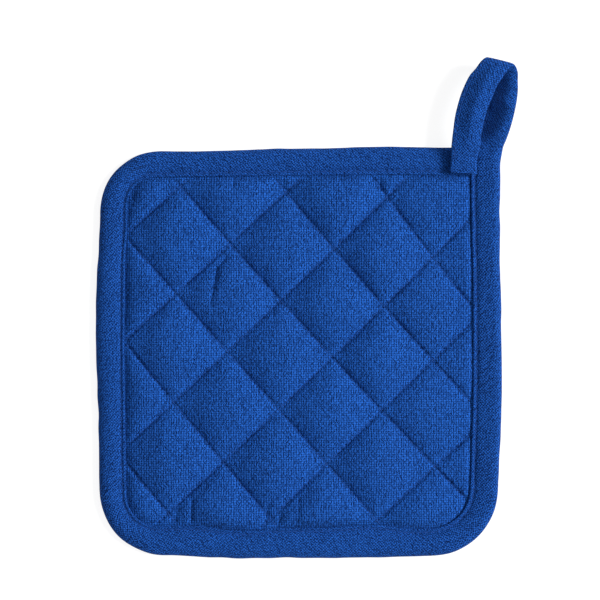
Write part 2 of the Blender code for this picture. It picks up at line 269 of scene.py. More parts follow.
# Sewing thread
STITCH = 3.2  # length of a stitch
STITCH_SHARE = 0.86  # of it that shows between two needle holes
THREAD = 0.19  # radius
THREAD_LIFT = 0.12
THREAD_SIDES = 6
STITCH_CLEARANCE = 0.3  # quilting stitches keep this far inside the tape's folded edge
STITCH_LEVEL = 0.5  # how far a stitch evens out the face under it
STITCH_PROFILE = (
    # share of the stitch, height, radius share
    (0.00, -0.22, 0.6),
    (0.14, 0.02, 0.95),
    (0.50, 0.10, 1.0),
    (0.86, 0.02, 0.95),
    (1.00, -0.22, 0.6),
)

# Weave
COTTON_PITCH = (1.22, 1.12)  # from thread to thread, across the warp and across the weft
TAPE_PITCH = (1.04, 1.04)
BIAS = math.radians(45)
WEAVE_DEPTH = 0.00018
THREAD_HIGH = (0.55, 0.45)  # a thread's middle height, and how far it goes over and under
THREAD_MIDDLE = 0.62  # height that is neither lit nor shaded
DRIFT_SCALE = 0.09  # noise scales are for each millimetre
PATCH_SCALE = 0.035
SLUB_SCALE = 0.16  # along a thread
SLUB_APART = 7.31  # how far apart two threads' slubs are taken
FIBRE = 0.52  # size of the specks
FIBRE_EDGE = 0.8  # how far a speck darkens what lies beside it

# Colours, linear
COTTON = ((0.0001, 0.006, 0.045), (0.0165, 0.115, 0.510))
TAPE = ((0.0003, 0.008, 0.055), (0.0165, 0.112, 0.500))
SEWING_THREAD = ((0.005, 0.036, 0.180), (0.014, 0.085, 0.370))
FLOOR = (0.25, 0.25, 0.25)

# Floor and light
FLOOR_REACH = 3.0
FLOOR_LEVEL = -0.0001
FLOOR_GLOW = 0.85
DAYLIGHT = 0.42
DAYLIGHT_RIGHTWARD = 0.6  # how much brighter it is from the right, and darker from the left
LAMP_PLACE = (2.1, 0.3, 1.65)
LAMP_SIZE = 0.7
LAMP_POWER = 83.0
OVERHEAD_PLACE = (0.0, -0.035, 1.3)
OVERHEAD_SPREAD = math.radians(17)
OVERHEAD_SOFTNESS = 0.2
OVERHEAD_POWER = 12.0

# The view: straight down from above the middle of the frame
CAMERA_PLACE = (0.00064, 0.02607, 0.8197)
LENS = 100.0
SENSOR = 36.0

FIELD = 320.0  # noise fields cover this far each way from the origin


def blend(a, b, share):
    return a + (b - a) * share


def ease(value):
    """0 below 0, 1 above 1, and a smooth step between."""
    t = np.clip(value, 0.0, 1.0)
    return t * t * (3 - 2 * t)


def smooth_at(values, share):
    """Values at shares of the way along evenly spaced rows, on a smooth curve through them."""
    values = np.asarray(values, float)
    place = np.clip(np.asarray(share, float), 0.0, 1.0) * (len(values) - 1)
    i = np.minimum(place.astype(int), len(values) - 2)
    t = (place - i).reshape(place.shape + (1,) * (values.ndim - 1))
    before, a, b, after = (values[np.clip(i + k, 0, len(values) - 1)] for k in (-1, 0, 1, 2))
    return 0.5 * (2 * a + (b - before) * t + (2 * before - 5 * a + 4 * b - after) * t**2
                  + (3 * a - before - 3 * b + after) * t**3)


def noise(x, y, size, seed):
    """Smooth uneven values from -1 to 1, the same each time, in patches of the given size."""
    count = int(3 * FIELD / size) + 3
    grid = np.random.default_rng(seed).uniform(-1, 1, (count, count))
    u, v = (np.asarray(x) + FIELD) / size, (np.asarray(y) + FIELD) / size
    i = np.clip(u.astype(int), 0, count - 2)
    j = np.clip(v.astype(int), 0, count - 2)
    a, b = ease(u - i), ease(v - j)
    return blend(blend(grid[i, j], grid[i + 1, j], a), blend(grid[i, j + 1], grid[i + 1, j + 1], a), b)


def rounded_path(inset, radii, wavers, start_x, end_y, fineness=1.0):
    """Points along the top, left, bottom and right sides, which start at the top's right end."""
    top, left = HALF_LENGTH - inset[0], inset[1] - HALF_WIDTH
    bottom, right = inset[2] - HALF_LENGTH, HALF_WIDTH - inset[3]
    middles = (
        (left + radii[0], top - radii[0]),
        (left + radii[1], bottom + radii[1]),
        (right - radii[2], bottom + radii[2]),
    )
    sides = (
        (start_x, top, middles[0][0], top),
        (left, middles[0][1], left, middles[1][1]),
        (middles[1][0], bottom, middles[2][0], bottom),
        (right, middles[2][1], right, end_y),
    )
    outward = ((0, 1), (-1, 0), (0, -1), (1, 0))
    stretches = []
    for k, (x0, y0, x1, y1) in enumerate(sides):
        share = np.linspace(0, 1, int(SIDE_STEPS[k] * fineness) + 1)
        x, y = blend(x0, x1, share), blend(y0, y1, share)
        out = smooth_at(wavers[0][k], share)
        if k == RIGHT_SIDE:
            flare = FLARE if wavers is EDGE_WAVERS else FOLD_FLARE
            out = out + flare * np.maximum(0.0, 1 - (TAPE_END - y) / FLARE_LENGTH) ** 2
        stretches.append(np.stack([x + outward[k][0] * out, y + outward[k][1] * out], 1))
        if k == RIGHT_SIDE:
            break
        waver = (wavers[0][k][-1], wavers[1][k], wavers[0][k + 1][0])
        share = np.linspace(0, 1, int(CORNER_STEPS * fineness) + 1)[1:-1]
        angle = np.radians(90 * (k + 1 + share))
        reach = radii[k] + smooth_at(waver, share)
        stretches.append(np.stack([middles[k][0] + reach * np.cos(angle),
                                   middles[k][1] + reach * np.sin(angle)], 1))
    return np.concatenate(stretches)


def corner_place(inset, wavers):
    """Where the top side and the right side meet, at the square corner."""
    x = HALF_WIDTH - inset[3] + wavers[0][RIGHT_SIDE][-1]
    y = HALF_LENGTH - inset[0] + wavers[0][0][0]
    return x, y


def closed_path(inset, radii, wavers, fineness):
    x, y = corner_place(inset, wavers)
    points = rounded_path(inset, radii, wavers, x, y, fineness)
    points[0] = (x, y)
    return points[:-1]


def seam_x(seam, y):
    """x of a seam at the height y: a parabola through its three places."""
    top, middle, bottom = SEAM_HEIGHTS
    at_top = (y - middle) * (y - bottom) / ((top - middle) * (top - bottom))
    at_middle = (y - top) * (y - bottom) / ((middle - top) * (middle - bottom))
    at_bottom = (y - top) * (y - middle) / ((bottom - top) * (bottom - middle))
    return seam[..., 0] * at_top + seam[..., 1] * at_middle + seam[..., 2] * at_bottom


def seam_slant(seam):
    """How far a seam runs for each millimetre of y."""
    return math.hypot(1.0, (seam[0] - seam[2]) / (SEAM_HEIGHTS[0] - SEAM_HEIGHTS[2]))


def seam_number(seams, x, y):
    """Which two seams a point lies between: the first one's number, plus the share of the way to the next."""
    places = np.array([seam_x(seam, y) for seam in seams])
    first = np.clip((places < x).sum(0) - 1, 0, len(seams) - 2)
    a = np.take_along_axis(places, first[None], 0)[0]
    b = np.take_along_axis(places, first[None] + 1, 0)[0]
    return first + (x - a) / (b - a)


def between(seams, number):
    """The lines between the seams with those numbers."""
    i = np.minimum(np.asarray(number).astype(int), len(seams) - 2)
    return blend(seams[i], seams[i + 1], (number - i)[..., None])


def crossing(falling, rising):
    """Where lines of the falling family meet lines of the rising family."""
    low = np.full(falling.shape[:-1], -2 * HALF_LENGTH)
    high = -low
    for _ in range(HALVINGS):
        y = (low + high) / 2
        below = seam_x(falling, y) < seam_x(rising, y)
        high, low = np.where(below, y, high), np.where(below, low, y)
    return seam_x(falling, y), y


def edge_distance(loop, x, y):
    """How far points lie inside a closed loop; less than 0 outside it."""
    nearest = np.full(np.shape(x), np.inf)
    inside = np.zeros(np.shape(x), bool)
    for (x0, y0), (x1, y1) in zip(loop, np.roll(loop, -1, 0)):
        dx, dy = x1 - x0, y1 - y0
        t = np.clip(((x - x0) * dx + (y - y0) * dy) / (dx * dx + dy * dy), 0, 1)
        nearest = np.minimum(nearest, np.hypot(x - x0 - t * dx, y - y0 - t * dy))
        if y0 != y1:
            inside ^= ((y0 > y) != (y1 > y)) & (x < x0 + (y - y0) * dx / dy)
    return np.where(inside, nearest, -nearest)


def sides_near(x):
    """How near a point is to the tape's left side and to its right side: 1 beside it, 0 far from it."""
    left, right = FOLD_INSET[1] - HALF_WIDTH, HALF_WIDTH - FOLD_INSET[3]
    return 1 - ease((x - left) / LEFT_BORDER_REACH), 1 - ease((right - x) / RIGHT_BORDER_REACH)


def puff(x, y, edge):
    """Share of a puff's full height at a point, from 0 on a seam to 1 on a crown."""
    share = 1.0
    for seams in (FALLING_SEAMS, RISING_SEAMS):
        across = seam_number(seams, x, y) % 1.0
        share = share * (1 - np.abs(2 * across - 1) ** PUFF_POWER)
    leftward, rightward = sides_near(x)
    rise = blend(blend(BORDER_RISE, LEFT_BORDER_RISE, leftward), RIGHT_BORDER_RISE, rightward)
    return share * blend(1.0, RIGHT_FILLING, rightward) * (1 - np.clip(1 - edge / rise, 0, None) ** 2)


def nearest_seam(seams, x, y):
    """How far points lie from the nearest seam of a family, and how far along it they are."""
    distance = np.full(np.shape(x), np.inf)
    along = np.zeros(np.shape(x))
    for seam in seams:
        slant = seam_slant(seam)
        away = np.abs(x - seam_x(seam, y)) / slant
        nearer = away < distance
        distance = np.where(nearer, away, distance)
        along = np.where(nearer, y * slant, along)
    return distance, along


def sewn_detail(x, y):
    """The needle's groove along the seams, and the ripples that the thread pulls up beside it."""
    height = np.zeros(np.shape(x))
    for seed, seams in ((11, FALLING_SEAMS), (12, RISING_SEAMS)):
        distance, along = nearest_seam(seams, x, y)
        dimple = 1 + STITCH_DIMPLE * np.cos(2 * math.pi * along / STITCH)
        pull = 1 + GROOVE_UNEVEN[0] * noise(x, y, GROOVE_UNEVEN[1], seed + 20)
        depth = GROOVE_DEPTH * pull * (1 + SIDE_GROOVE * sum(sides_near(x)))
        height -= depth * dimple * np.exp(-(distance / GROOVE_WIDTH) ** 2)
        ripple = noise(along, distance * PUCKER_STRETCH, PUCKER_SIZE, seed)
        height += PUCKER_HEIGHT * ripple * np.exp(-distance / PUCKER_REACH) * ease(distance / GROOVE_WIDTH)
    return height


def crease_points():
    """Extra points of the face beside the creases, so that their troughs are sharp."""
    places = []
    for x0, y0, x1, y1, _, _ in CREASES:
        length = math.hypot(x1 - x0, y1 - y0)
        ahead = np.array((x1 - x0, y1 - y0)) / length
        for along in np.arange(0.0, length, CREASE_STEP):
            for aside in CREASE_ASIDE:
                places.append(np.array((x0, y0)) + ahead * along + ahead[::-1] * (-aside, aside))
    return np.array(places)


def crease_detail(x, y):
    """Sharp troughs where the cloth was caught."""
    deepest = np.zeros(np.shape(x))
    for x0, y0, x1, y1, width, depth in CREASES:
        dx, dy = x1 - x0, y1 - y0
        t = np.clip(((x - x0) * dx + (y - y0) * dy) / (dx * dx + dy * dy), 0, 1)
        distance = np.hypot(x - x0 - t * dx, y - y0 - t * dy)
        deepest = np.maximum(deepest, CREASE_DEPTH * depth * np.exp(-distance / width))
    return -deepest


def top_height(x, y, edge):
    """Height of the pad's face."""
    falling, rising = seam_number(FALLING_SEAMS, x, y), seam_number(RISING_SEAMS, x, y)
    angle = CROWN_CHANGE[0] * np.floor(falling) + CROWN_CHANGE[1] * np.floor(rising)
    crown = CROWN_TOP + CROWN_UNEVEN * np.sin(angle)
    seam = blend(MARGIN_TOP, SEAM_TOP, np.clip(edge / SEAM_RISE, 0, 1))
    full = puff(x, y, edge)
    soft = sum(high * noise(x, y, size, k) for k, (high, size) in enumerate(SOFTNESS))
    detail = soft * np.sqrt(np.clip(full, 0, 1)) + sewn_detail(x, y) + crease_detail(x, y)
    lip = LEFT_LIP[0] * sides_near(x)[0] * (1 - np.exp(-np.clip(edge, 0, None) / LEFT_LIP[1]))
    height = seam + (crown - seam) * full + lip + detail * ease(edge / SEAM_RISE)
    return np.where(edge <= 0, MARGIN_TOP, height)


def bottom_height(x, y, edge):
    """Height of the pad's underside, pressed flat where it lies."""
    seam = blend(MARGIN_BOTTOM, SEAM_BOTTOM, np.clip(edge / SEAM_RISE, 0, 1))
    return np.where(edge <= 0, MARGIN_BOTTOM, seam * np.clip(1 - puff(x, y, edge) / FLAT_SHARE, 0, None))


def crowded(rows):
    """Shares from 0 to 1 that lie closer together at both ends."""
    t = np.arange(rows) / rows
    return t - ROW_CROWDING * np.sin(2 * math.pi * t) / (2 * math.pi)


def pad_face(rim, window, rows, extra):
    """One face of the pad seen from above: its points, its triangles and the rim's points in order."""
    points, edges = [], []

    def line(places, closed):
        first = len(points)
        points.extend(places)
        edges.extend((first + i, first + i + 1) for i in range(len(places) - 1))
        if closed:
            edges.append((len(points) - 1, first))

    line(rim, True)
    line(window, True)
    last = len(FALLING_SEAMS) - 1
    numbers = (np.arange(last)[:, None] + crowded(rows)[None]).ravel()
    for number in range(1, last):
        for x, y in (crossing(FALLING_SEAMS[number][None], between(RISING_SEAMS, numbers)),
                     crossing(between(FALLING_SEAMS, numbers), RISING_SEAMS[number][None])):
            near = edge_distance(window, x, y) > -SEAM_OVERRUN
            line(np.stack([x, y], 1)[near], False)
    loose = numbers[numbers % 1.0 > 0]
    a, b = (grid.ravel() for grid in np.meshgrid(loose, loose))
    x, y = crossing(between(FALLING_SEAMS, a), between(RISING_SEAMS, b))
    inner = np.concatenate([np.stack([x, y], 1), extra])
    kept = edge_distance(window, *inner.T) > POINT_CLEARANCE
    points.extend(inner[kept])
    outside = [list(range(len(rim)))]
    flat, _, faces, origins, _, _ = delaunay_2d_cdt([Vector(point) for point in points], edges, outside,
                                                    INSIDE_RIM, SAME_POINT)
    place_of = {i: place for place, sources in enumerate(origins) for i in sources}
    return np.array(flat), faces, [place_of[i] for i in range(len(rim))]


WINDOW = closed_path(FOLD_INSET, FOLD_RADII, FOLD_WAVERS, WINDOW_FINENESS)


def make_pad():
    """The quilted pad: its face with puffs, its underside and the thin margin inside the tape."""
    rim_radii = [radius - MARGIN_INSET for radius in EDGE_RADII]
    rim = closed_path([MARGIN_INSET] * 4, rim_radii, EDGE_WAVERS, RIM_FINENESS)
    window = closed_path(FOLD_INSET, FOLD_RADII, FOLD_WAVERS, 1.0)
    vertices, faces, rims = [], [], []
    for height, rows, extra, upward in ((top_height, TOP_ROWS, crease_points(), True),
                                        (bottom_height, BOTTOM_ROWS, np.empty((0, 2)), False)):
        flat, triangles, outside = pad_face(rim, window, rows, extra)
        x, y = flat.T
        first = sum(len(part) for part in vertices)
        z = height(x, y, edge_distance(WINDOW, x, y) - ON_FOLD)
        vertices.append(np.stack([x, y, z], 1))
        faces += [[first + i for i in (face if upward else reversed(face))] for face in triangles]
        rims.append([first + i for i in outside])
    top, bottom = rims
    for i in range(len(top)):
        k = (i + 1) % len(top)
        faces.append([top[i], bottom[i], bottom[k], top[k]])
    return np.concatenate(vertices), faces


def run_length(points):
    """Length along a line of points, at each point."""
    steps = np.linalg.norm(np.diff(points, axis=0), axis=1)
    return np.concatenate([[0.0], np.cumsum(steps)])


def swept(rings):
    """Vertices and faces of a solid through rings of points, with a flat cap at each end."""
    rings = np.asarray(rings)
    count, size = rings.shape[:2]
    corner = np.arange(size)
    after = (corner + 1) % size
    faces = []
    for r in range(count - 1):
        here, there = r * size, (r + 1) * size
        faces += np.stack([here + corner, here + after, there + after, there + corner], 1).tolist()
    faces.append(corner[::-1].tolist())
    faces.append((corner + (count - 1) * size).tolist())
    return rings.reshape(-1, 3), faces


def tape_lines():
    """The square's edge and the tape's folded edge, point by point, and the length along the tape."""
    fold_x, _ = corner_place(FOLD_INSET, FOLD_WAVERS)
    edge = rounded_path([0.0] * 4, EDGE_RADII, EDGE_WAVERS, fold_x - GAP, TAPE_END)
    fold = rounded_path(FOLD_INSET, FOLD_RADII, FOLD_WAVERS, fold_x - GAP, TAPE_END)
    return edge, fold, run_length((edge + fold) / 2)


def right_edge_lift(inward):
    return RIGHT_EDGE_LIFT * np.exp(-(inward / RIGHT_EDGE_REACH) ** 2)


def tape_rings():
    """The folded tape's sections, one ring of points for each place along it."""
    edge, fold, along = tape_lines()
    width = np.linalg.norm(fold - edge, axis=1)
    section = np.array(TAPE_SECTION)
    share = section[None, :, 0] + section[None, :, 1] / width[:, None]
    calm = ease((along[-1] - along) / EDGE_RIPPLE_SIZE)
    ripple = calm * EDGE_RIPPLE * noise(along - FIELD, 0 * along, EDGE_RIPPLE_SIZE, 21)
    edge = edge + (edge - fold) / width[:, None] * ripple[:, None]
    flat = edge[:, None] + (fold - edge)[:, None] * share[..., None]
    across = share * width[:, None]
    height = np.repeat(section[None, :, 2], len(edge), 0)
    raised = np.clip((height - RAISED[0]) / RAISED[1], 0, 1)
    rightward = ease((edge[:, :1] - RIGHT_EDGE_START[0]) / RIGHT_EDGE_START[1])
    height[:, :TOP_ROWS_END] += (rightward * right_edge_lift(across))[:, :TOP_ROWS_END]
    slanting = along[:, None] - FIELD + across * TAPE_RIPPLE_SLANT[0]
    ripple = noise(slanting, across * TAPE_RIPPLE_SLANT[1], TAPE_RIPPLE_SIZE, 22)
    height = height + calm[:, None] * raised * TAPE_RIPPLE * ripple
    holes = np.cos(2 * math.pi * run_length(fold) / STITCH)
    height[:, TOP_GROOVE] -= NEEDLE_DEPTH[0] * holes
    height[:, BOTTOM_GROOVE] += NEEDLE_DEPTH[1] * holes
    return np.concatenate([flat, height[..., None]], 2), along


def strap_frames(share):
    """Left edges, right edges, up directions and the shape's columns at shares of the strap's length."""
    rows = smooth_at(STRAP, share)
    left, right = rows[:, 0:3], rows[:, 3:6]
    step = 0.5 / (len(STRAP) * STRAP_STEPS)
    ahead = [smooth_at(STRAP, np.clip(share + shift, 0, 1)) for shift in (step, -step)]
    ahead = (ahead[0][:, 0:3] + ahead[0][:, 3:6] - ahead[1][:, 0:3] - ahead[1][:, 3:6]) / 2
    ahead[[0, -1], 2] = 0.0
    up = np.cross(right - left, ahead)
    up /= np.linalg.norm(up, axis=1, keepdims=True)
    return left, right, up, *rows[:, 6:].T


def strap_lift(side, rise, place):
    """How far the strap bulges over its two edges' line: it climbs from the left, then runs on level."""
    return rise * (ease((side + 1) / (place + 1)) - (side + 1) / 2)


def tape_face(inward, width, upper):
    """Height of the tape's upper or under face at a distance in from the square's edge."""
    section = np.array(TAPE_SECTION)
    rows = section[:TOP_ROWS_END] if upper else section[TOP_ROWS_END - 1:INSIDE_START]
    place = rows[:, 0] * width + rows[:, 1]
    order = np.argsort(place)
    return np.interp(inward, place[order], rows[order, 2])


def strap_points(share, side, face):
    """Places on the strap's upper or under face, past its root, with the ways out of that face."""
    left, right, up, thickness, rise, place = strap_frames(share)
    lift = strap_lift(side, rise, place) + face * (thickness / 2 - STRAP_GROOVE[0])
    spot = (left + right) / 2 + (right - left) / 2 * np.reshape(side, (-1, 1)) + up * lift[:, None]
    return spot, up * face


def strap_rings():
    """The strap's sections; the first is the tape's own end, sewn shut."""
    count = (len(STRAP) - 1) * STRAP_STEPS
    share = np.arange(count + 1) / count
    left, right, up, thickness, rise, place = strap_frames(share)
    middle, across = (left + right) / 2, (right - left) / 2
    rootward = 1 - ease(share * (len(STRAP) - 1) / ROOT_ROWS)
    side = np.sin(np.linspace(math.pi / 2, -math.pi / 2, STRAP_COLUMNS))
    width = 2 * np.linalg.norm(across[0])
    rings = []
    for face, sides in ((1, side), (-1, side[::-1])):
        round_off = np.sqrt(np.clip(1 - np.abs(sides) ** STRAP_SQUARENESS, 0, 1))
        bulge = strap_lift(sides[None], rise[:, None], place[:, None])
        groove = STRAP_GROOVE[0] * np.exp(-((sides - STRAP_STITCH_SIDE) / STRAP_GROOVE[1]) ** 2)
        own = face * (round_off[None] * thickness[:, None] / 2 - groove[None]) + bulge
        inward = (1 - sides) / 2 * width
        tape = tape_face(inward, width, face > 0) - middle[0, 2] + (face > 0) * right_edge_lift(inward)
        lift = blend(own, tape[None], rootward[:, None])
        rings.append(middle[:, None] + across[:, None] * sides[None, :, None]
                     + up[:, None] * lift[..., None])
    rings = np.concatenate([rings[0], rings[1][:, 1:-1]], 1)
    rings[..., 2] = np.maximum(rings[..., 2], 0.0)  # pressed flat where it lies
    return rings


def metres_mesh(name, vertices, faces, material, coordinates=None):
    """An object from vertices in millimetres, smooth shaded.

    coordinates give its weave's place, in millimetres.
    """
    mesh = bpy.data.meshes.new(name)
    mesh.from_pydata((np.asarray(vertices) * MM).tolist(), [], faces)
    mesh.shade_smooth()
    if coordinates is not None:
        corners = np.zeros(len(mesh.loops), np.int32)
        mesh.loops.foreach_get("vertex_index", corners)
        layer = mesh.uv_layers.new(name="weave")
        layer.data.foreach_set("uv", np.asarray(coordinates, np.float32)[corners].ravel())
    mesh.materials.append(material)
    piece = bpy.data.objects.new(name, mesh)
    bpy.context.collection.objects.link(piece)
    return piece


def ring_coordinates(rings, along):
    """Length along the tape and length round its section, for each point of its rings."""
    steps = np.linalg.norm(np.diff(rings, axis=1), axis=2)
    around = np.concatenate([np.zeros((len(rings), 1)), np.cumsum(steps, 1)], 1)
    return np.stack([np.repeat(np.asarray(along)[:, None], rings.shape[1], 1), around], 2).reshape(-1, 2)


def make_binding(material):
    rings, along = tape_rings()
    vertices, faces = swept(rings)
    return metres_mesh("bias_binding", vertices, faces, material, ring_coordinates(rings, along))


def make_loop(material):
    rings = strap_rings()
    along = run_length(rings.mean(1))
    vertices, faces = swept(rings)
    return metres_mesh("hanging_loop", vertices, faces, material, ring_coordinates(rings, along))


def thread_tubes(runs, ups):
    """One mesh of short rounded tubes along runs of points, bowed along the up directions."""
    runs, ups = np.asarray(runs, float), np.asarray(ups, float)
    profile = np.array(STITCH_PROFILE)
    ahead = runs[:, -1] - runs[:, 0]
    ahead /= np.linalg.norm(ahead, axis=1, keepdims=True)
    side = np.cross(ahead, ups)
    side /= np.linalg.norm(side, axis=1, keepdims=True)
    centres = runs + ups[:, None] * (profile[:, 1] + THREAD_LIFT)[None, :, None]
    angle = 2 * math.pi * np.arange(THREAD_SIDES) / THREAD_SIDES
    ring = np.cos(angle)[None, :, None] * side[:, None] + np.sin(angle)[None, :, None] * ups[:, None]
    radius = THREAD * profile[:, 2]
    vertices = centres[:, :, None] + ring[:, None] * radius[None, :, None, None]
    stitches, rows, sides = vertices.shape[:3]
    corner, after = np.arange(sides), (np.arange(sides) + 1) % sides
    pattern = []
    for r in range(rows - 1):
        here, there = r * sides, (r + 1) * sides
        pattern += np.stack([here + corner, there + corner, there + after, here + after], 1).tolist()
    faces = []
    for k in range(stitches):
        first = k * rows * sides
        faces += [[first + i for i in face] for face in pattern]
        faces.append((first + corner).tolist())
        faces.append((first + (rows - 1) * sides + corner[::-1]).tolist())
    return vertices.reshape(-1, 3), faces


def seam_stitches(height_at, up):
    """Stitches along every quilting seam, on the face or on the underside."""
    runs = []
    shares = np.array([row[0] for row in STITCH_PROFILE])
    for seams in (FALLING_SEAMS, RISING_SEAMS):
        for seam in seams[1:-1]:
            slant = seam_slant(seam)
            first = math.ceil(-HALF_LENGTH * slant / STITCH)
            for number in range(first, -first):
                along = (number + 0.5 + (shares - 0.5) * STITCH_SHARE) * STITCH
                y = along / slant
                runs.append(np.stack([seam_x(seam, y), y], 1))
    runs = np.array(runs)
    edge = edge_distance(WINDOW, runs[..., 0], runs[..., 1])
    kept = edge.min(1) > STITCH_CLEARANCE
    runs, edge = runs[kept], edge[kept]
    z = height_at(runs[..., 0], runs[..., 1], edge)
    middle = z.mean(1, keepdims=True)
    runs = np.concatenate([runs, blend(z, middle, STITCH_LEVEL)[..., None]], 2)
    return runs, np.repeat([[0, 0, up]], len(runs), 0)


def line_stitches(points, ups):
    """Stitches one after another along a line of points."""
    length = run_length(points)
    shares = np.array([row[0] for row in STITCH_PROFILE])
    numbers = np.arange(int(length[-1] / STITCH))
    along = (numbers[:, None] + 0.5 + (shares - 0.5)[None] * STITCH_SHARE) * STITCH
    runs = np.stack([np.interp(along, length, points[:, k]) for k in range(3)], 2)
    middle = along.mean(1)
    up = np.stack([np.interp(middle, length, ups[:, k]) for k in range(3)], 1)
    return runs, up / np.linalg.norm(up, axis=1, keepdims=True)


def joined_stitches(name, groups, material):
    runs = np.concatenate([group[0] for group in groups])
    ups = np.concatenate([group[1] for group in groups])
    vertices, faces = thread_tubes(runs, ups)
    return metres_mesh(name, vertices, faces, material)


class Shading:
    """A material's nodes, with short ways to add and link them."""

    def __init__(self, name):
        self.material = bpy.data.materials.new(name)
        self.material.use_nodes = True
        self.tree = self.material.node_tree
        self.shader = self.tree.nodes["Principled BSDF"]

    def put(self, value, socket):
        if isinstance(value, bpy.types.NodeSocket):
            self.tree.links.new(value, socket)
        else:
            socket.default_value = value

    def maths(self, operation, *values):
        node = self.tree.nodes.new("ShaderNodeMath")
        node.operation = operation
        for value, socket in zip(values, node.inputs):
            self.put(value, socket)
        return node.outputs[0]

    def vector(self, operation, *values):
        node = self.tree.nodes.new("ShaderNodeVectorMath")
        node.operation = operation
        sockets = [node.inputs["Scale"] if operation == "SCALE" and k == 1 else node.inputs[k]
                   for k in range(len(values))]
        for value, socket in zip(values, sockets):
            self.put(value, socket)
        return node.outputs[0]

    def noise(self, place, scale, detail=2.0, roughness=0.5):
        node = self.tree.nodes.new("ShaderNodeTexNoise")
        inputs = {"Vector": place, "Scale": scale, "Detail": detail, "Roughness": roughness}
        for name, value in inputs.items():
            self.put(value, node.inputs[name])
        return node.outputs[0], node.outputs[1]

    def mix(self, factor, a, b):
        node = self.tree.nodes.new("ShaderNodeMix")
        node.data_type = "RGBA"
        self.put(factor, node.inputs[0])
        self.put((*a, 1) if isinstance(a, tuple) else a, node.inputs[6])
        self.put((*b, 1) if isinstance(b, tuple) else b, node.inputs[7])
        return node.outputs[2]

    def turned(self, place, angle):
        node = self.tree.nodes.new("ShaderNodeVectorRotate")
        node.rotation_type = "Z_AXIS"
        self.put(place, node.inputs["Vector"])
        node.inputs["Angle"].default_value = angle
        return node.outputs[0]

    def parted(self, place):
        node = self.tree.nodes.new("ShaderNodeSeparateXYZ")
        self.put(place, node.inputs[0])
        return node.outputs[0], node.outputs[1]

    def joined(self, x, y):
        node = self.tree.nodes.new("ShaderNodeCombineXYZ")
        self.put(x, node.inputs[0])
        self.put(y, node.inputs[1])
        return node.outputs[0]


